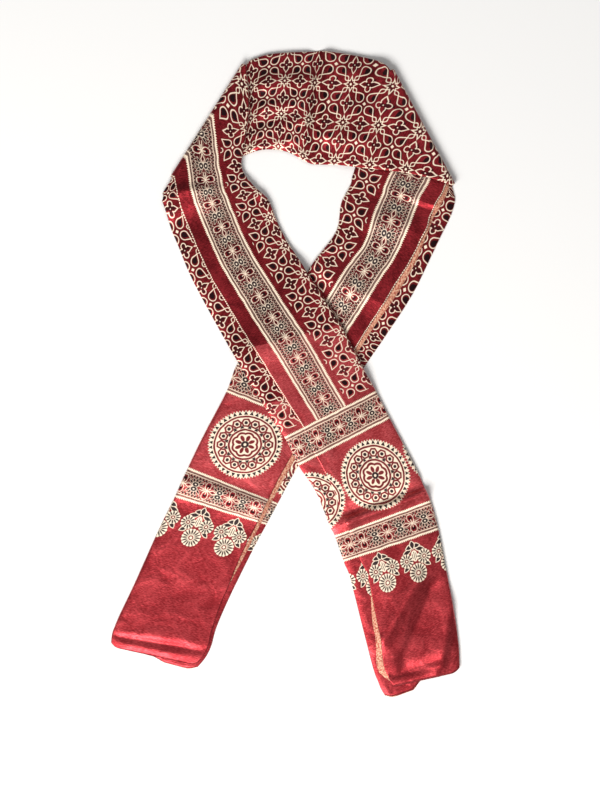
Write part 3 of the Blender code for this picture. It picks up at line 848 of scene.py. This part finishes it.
def leaf_at(ink, x, y, place, turn, length, width):
    """A black leaf with a cream outline, its middle at place, turned by that many degrees."""
    cosine, sine = math.cos(math.radians(turn)), math.sin(math.radians(turn))
    along = (x - place[0]) * cosine + (y - place[1]) * sine
    off = ((y - place[1]) * cosine - (x - place[0]) * sine).size()
    leaf = along * along * (width / length**2) + off - width
    ink.draw_cream((leaf - LEAF_RIM).filled())
    ink.draw_black(leaf.filled())


def draw_posies(ink, across, along, end):
    """A row of posies: a three-pointed crown, leaves, two small daisies and a large one below."""
    x = (across - POSY_FIRST).repeated(POSY_PITCH)
    mirrored = x.size()
    y = POSY_TOP - end
    for leaf in POSY_LEAVES:
        leaf_at(ink, mirrored, y, *leaf)
    leaf_at(ink, x, y, *CROWN_LEAF)
    bud = (mirrored * BUD_STRETCH[0]).reach((y - BUD_DOWN) * BUD_STRETCH[1]) - BUD_RADIUS
    ink.draw_cream(bud.filled())
    ink.draw_black((mirrored.mirrored(VEIN_PITCH) - VEIN_HALF).filled() * (bud + BUD_RIM).below(0.0))
    daisy(ink, mirrored - SMALL_DAISY[0], y - SMALL_DAISY[1], *SMALL_DAISY[2:])
    daisy(ink, x, y - LARGE_DAISY[0], *LARGE_DAISY[1:])


# The satin that carries the print: red in each zone's own two shades, mottled by the grain of the weave
# and by soft patches, with a metallic shine that the cream has less of. The zones' reds are partly dye and
# partly painted light: the field's reds are darker with painted shade, and those of the ends and roundels are
# lighter with painted sheen. The right tail's part of the field, up to a slanting line, has a painted
# highlight: it is drawn lighter.

# Each zone's darker and lighter red. The zones' reds differ partly by dye and partly by painted light:
# painted shade darkens the field, and painted sheen lightens the ends and roundels.
FIELD_REDS = ((0.13, 0.004, 0.007), (0.32, 0.020, 0.028))
BORDER_REDS = ((0.26, 0.014, 0.019), (0.48, 0.045, 0.052))
PANEL_REDS = ((0.40, 0.034, 0.041), (0.72, 0.115, 0.125))
END_REDS = ((0.28, 0.016, 0.022), (0.56, 0.062, 0.072))
RESIST_CREAM = (1.0, 0.84, 0.65)
IRON_BLACK = (0.022, 0.005, 0.007)
# The painted highlight on the right tail's field: where it ends along the cloth, how its edge slants, and how
# strongly it is painted.
PAINTED_SHINE_TO, PAINTED_SHINE_SLANT, PAINTED_SHINE_SHARE = 409.0, 0.3, 0.85
HAND_WAVER = 1.6  # the printed lines wander by up to half of this
WAVER_SCALE, WAVER_DETAIL = 0.07, 2.0
GRAIN_STRETCH = (0.25, 0.9, 1.0)
GRAIN_SCALE, GRAIN_DETAIL = 0.9, 3.0
RIPPLE_SCALE, RIPPLE_DETAIL, RIPPLE_DISTORTION = 0.035, 2.0, 0.6
GRAIN_CONTRAST, PATCH_CONTRAST = (3.2, -1.2), (1.8, -0.9)
SATIN_ROUGHNESS = 0.44
RED_METAL, CREAM_LOSS = 0.85, -0.7
SHEEN, SHEEN_ROUGHNESS = 0.15, 0.4
RIPPLE_HEIGHT, GRAIN_HEIGHT = 1.6, 0.25


def blend(factor, one, other):
    """A colour between one and other. Each is three numbers or the output of a node."""
    tree = factor.socket.id_data
    node = tree.nodes.new("ShaderNodeMix")
    node.data_type = "RGBA"
    tree.links.new(factor.socket, node.inputs["Factor"])
    for slot, colour in (("A", one), ("B", other)):
        if isinstance(colour, tuple):
            node.inputs[slot].default_value = (*colour, 1)
        else:
            tree.links.new(colour, node.inputs[slot])
    return node.outputs["Result"]


def noise(vector, scale, detail, distortion=0.0):
    """A noise texture over the places that the vector socket gives."""
    node = vector.id_data.nodes.new("ShaderNodeTexNoise")
    node.inputs["Scale"].default_value = scale
    node.inputs["Detail"].default_value = detail
    node.inputs["Distortion"].default_value = distortion
    vector.id_data.links.new(vector, node.inputs["Vector"])
    return node


def place_on_cloth(material):
    """The output that gives each point's place on the flat cloth, in millimetres."""
    node = material.node_tree.nodes.new("ShaderNodeAttribute")
    node.attribute_name = "print_place"
    return node.outputs["Vector"]


def satin(name, draw, reds):
    """The printed satin, mottled between two reds, with the part of the print that `draw` adds."""
    material = bpy.data.materials.new(name)
    material.use_nodes = True
    nodes, links = material.node_tree.nodes, material.node_tree.links
    shader = nodes["Principled BSDF"]
    place = place_on_cloth(material)
    parts = nodes.new("ShaderNodeSeparateXYZ")
    links.new(place, parts.inputs[0])
    shift = nodes.new("ShaderNodeSeparateColor")
    links.new(noise(place, WAVER_SCALE, WAVER_DETAIL).outputs["Color"], shift.inputs[0])
    across_shift = Number(shift.outputs["Red"]).plus(HAND_WAVER, -HAND_WAVER / 2)
    along_shift = Number(shift.outputs["Green"]).plus(HAND_WAVER, -HAND_WAVER / 2)
    across = Number(parts.outputs["X"]) * (1 / UNIT) + across_shift
    along = Number(parts.outputs["Y"]) * (1 / UNIT) + along_shift
    end = along.least(LENGTH_UNITS - along)
    ink = Print(across)
    draw(ink, across, along, end)

    stretched = nodes.new("ShaderNodeVectorMath")
    stretched.operation = "MULTIPLY"
    stretched.inputs[1].default_value = GRAIN_STRETCH
    links.new(place, stretched.inputs[0])
    grain = Number(noise(stretched.outputs[0], GRAIN_SCALE, GRAIN_DETAIL).outputs["Fac"])
    ripple = Number(noise(place, RIPPLE_SCALE, RIPPLE_DETAIL, RIPPLE_DISTORTION).outputs["Fac"])
    mottled = grain.plus(*GRAIN_CONTRAST).math("ADD", ripple.plus(*PATCH_CONTRAST), clamp=True)
    # Painted highlight: the right tail's field up to that line is mixed toward the lighter reds.
    painted_shine_side = (across * PAINTED_SHINE_SLANT + along - PAINTED_SHINE_TO).filled()
    painted_shine = painted_shine_side * end.above(BORDER_FAR[1]) * PAINTED_SHINE_SHARE
    colour = blend(painted_shine, blend(mottled, *reds), blend(mottled, *PANEL_REDS))
    colour = blend(ink.black, blend(ink.cream, colour, RESIST_CREAM), IRON_BLACK)
    links.new(colour, shader.inputs["Base Color"])
    shader.inputs["Roughness"].default_value = SATIN_ROUGHNESS
    links.new(ink.cream.plus(CREAM_LOSS, RED_METAL).socket, shader.inputs["Metallic"])
    shader.inputs["Sheen Weight"].default_value = SHEEN
    shader.inputs["Sheen Roughness"].default_value = SHEEN_ROUGHNESS
    height = ripple.math("MULTIPLY_ADD", RIPPLE_HEIGHT, grain * GRAIN_HEIGHT)
    bump = nodes.new("ShaderNodeBump")
    bump.inputs["Strength"].default_value = 1.0
    bump.inputs["Distance"].default_value = MM
    links.new(height.socket, bump.inputs["Height"])
    links.new(bump.outputs["Normal"], shader.inputs["Normal"])
    cloth_mesh.materials.append(material)


# The order of these five is the order of the zones below.
satin("satin_field", draw_field, FIELD_REDS)
satin("satin_side_border", draw_side_border, FIELD_REDS)
satin("satin_cross_borders", draw_cross_borders, BORDER_REDS)
satin("satin_roundels", draw_roundels, PANEL_REDS)
satin("satin_posies", draw_posies, END_REDS)
FIELD_ZONE, SIDE_ZONE, CROSS_ZONE, ROUNDEL_ZONE, POSY_ZONE = range(5)

# The back of the cloth: the cotton side, tan, where the print shows through only as a blur. It is the
# second face of the same sheet, so each satin has it as its partner.

BACK_RED = (0.42, 0.08, 0.05)
BACK_TAN = (0.80, 0.46, 0.30)
BACK_SCALE, BACK_DETAIL = 0.4, 3.0
BACK_CONTRAST = (5.0, -2.0)
BACK_ROUGHNESS = 0.75
back = bpy.data.materials.new("cotton_back")
back.use_nodes = True
back_noise = noise(place_on_cloth(back), BACK_SCALE, BACK_DETAIL)
speckle = Number(back_noise.outputs["Fac"]).math("MULTIPLY_ADD", *BACK_CONTRAST, clamp=True)
back_shader = back.node_tree.nodes["Principled BSDF"]
back.node_tree.links.new(blend(speckle, BACK_RED, BACK_TAN), back_shader.inputs["Base Color"])
back_shader.inputs["Roughness"].default_value = BACK_ROUGHNESS
front_count = len(cloth_mesh.materials)
for partner in range(front_count):
    cloth_mesh.materials.append(back)


def face_middle(values):
    """The middle of each face of the grid, from the values at its four corners."""
    return (values[:-1, :-1] + values[:-1, 1:] + values[1:, 1:] + values[1:, :-1]).ravel() / 4


place_along = face_middle(along) / UNIT
place_across = face_middle(across) / UNIT
place_end = np.minimum(place_along, LENGTH_UNITS - place_along)
zone = np.where(place_across > FIELD_EDGE, FIELD_ZONE, SIDE_ZONE)
zone[place_end < BORDER_FAR[1]] = CROSS_ZONE
zone[place_end < BORDER_FAR[0]] = ROUNDEL_ZONE
zone[place_end < BORDER_NEAR_END[1]] = CROSS_ZONE
zone[place_end < BORDER_NEAR_END[0]] = POSY_ZONE
cloth_mesh.polygons.foreach_set("material_index", zone.astype(np.int32))

thickness = cloth.modifiers.new("thickness", "SOLIDIFY")
thickness.thickness = SHEET * MM
thickness.offset = 0.0
thickness.material_offset = front_count
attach(cloth, "root")
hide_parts("stole")

# Light: a large soft window low on the left, which draws the satin's shine along the creases, a faint
# fill from the upper right, and an even pale surround.


def area_light(name, place, target, width, height, watts, colour):
    lamp = bpy.data.lights.new(name, "AREA")
    lamp.shape = "RECTANGLE"
    lamp.size, lamp.size_y = width, height
    lamp.energy = watts
    lamp.color = colour
    thing = bpy.data.objects.new(name, lamp)
    thing.location = place
    direction = mathutils.Vector(target) - mathutils.Vector(place)
    thing.rotation_euler = direction.to_track_quat("-Z", "Y").to_euler()
    bpy.context.scene.collection.objects.link(thing)


area_light("window", place=(-1.5, -2.85, 3.0), target=(0, 0.15, 0), width=3.2, height=2.0,
           watts=300, colour=(1.0, 0.98, 0.95))
area_light("fill", place=(0.9, 1.5, 3.0), target=(0, 0.3, 0), width=1.6, height=1.2,
           watts=16, colour=(1.0, 0.98, 0.96))
SURROUND = (1, 1, 1, 1)
SURROUND_STRENGTH = 0.20
world = bpy.data.worlds.new("surround")
world.use_nodes = True
world.node_tree.nodes["Background"].inputs["Color"].default_value = SURROUND
world.node_tree.nodes["Background"].inputs["Strength"].default_value = SURROUND_STRENGTH
bpy.context.scene.world = world

# The camera looks straight down, as in the photo. One pixel of the photo is 1.46 mm on the table, and the
# middle of the footprint lies at MIDDLE in the photo's pixels.

PIXEL = 1.46 * MM
PHOTO_WIDTH, PHOTO_HEIGHT = 600, 800
MIDDLE = (285.0, 374.5)
CAMERA_HEIGHT = 3.2
view = bpy.data.cameras.new("camera")
view.sensor_width = 36.0
view.lens = view.sensor_width * CAMERA_HEIGHT / (PHOTO_HEIGHT * PIXEL)
camera = bpy.data.objects.new("camera", view)
camera_x = (PHOTO_WIDTH / 2 - MIDDLE[0]) * PIXEL
camera_y = (MIDDLE[1] - PHOTO_HEIGHT / 2) * PIXEL
camera.location = (camera_x, camera_y, CAMERA_HEIGHT)
bpy.context.scene.collection.objects.link(camera)
bpy.context.scene.camera = camera
bpy.context.scene.view_settings.view_transform = "Standard"
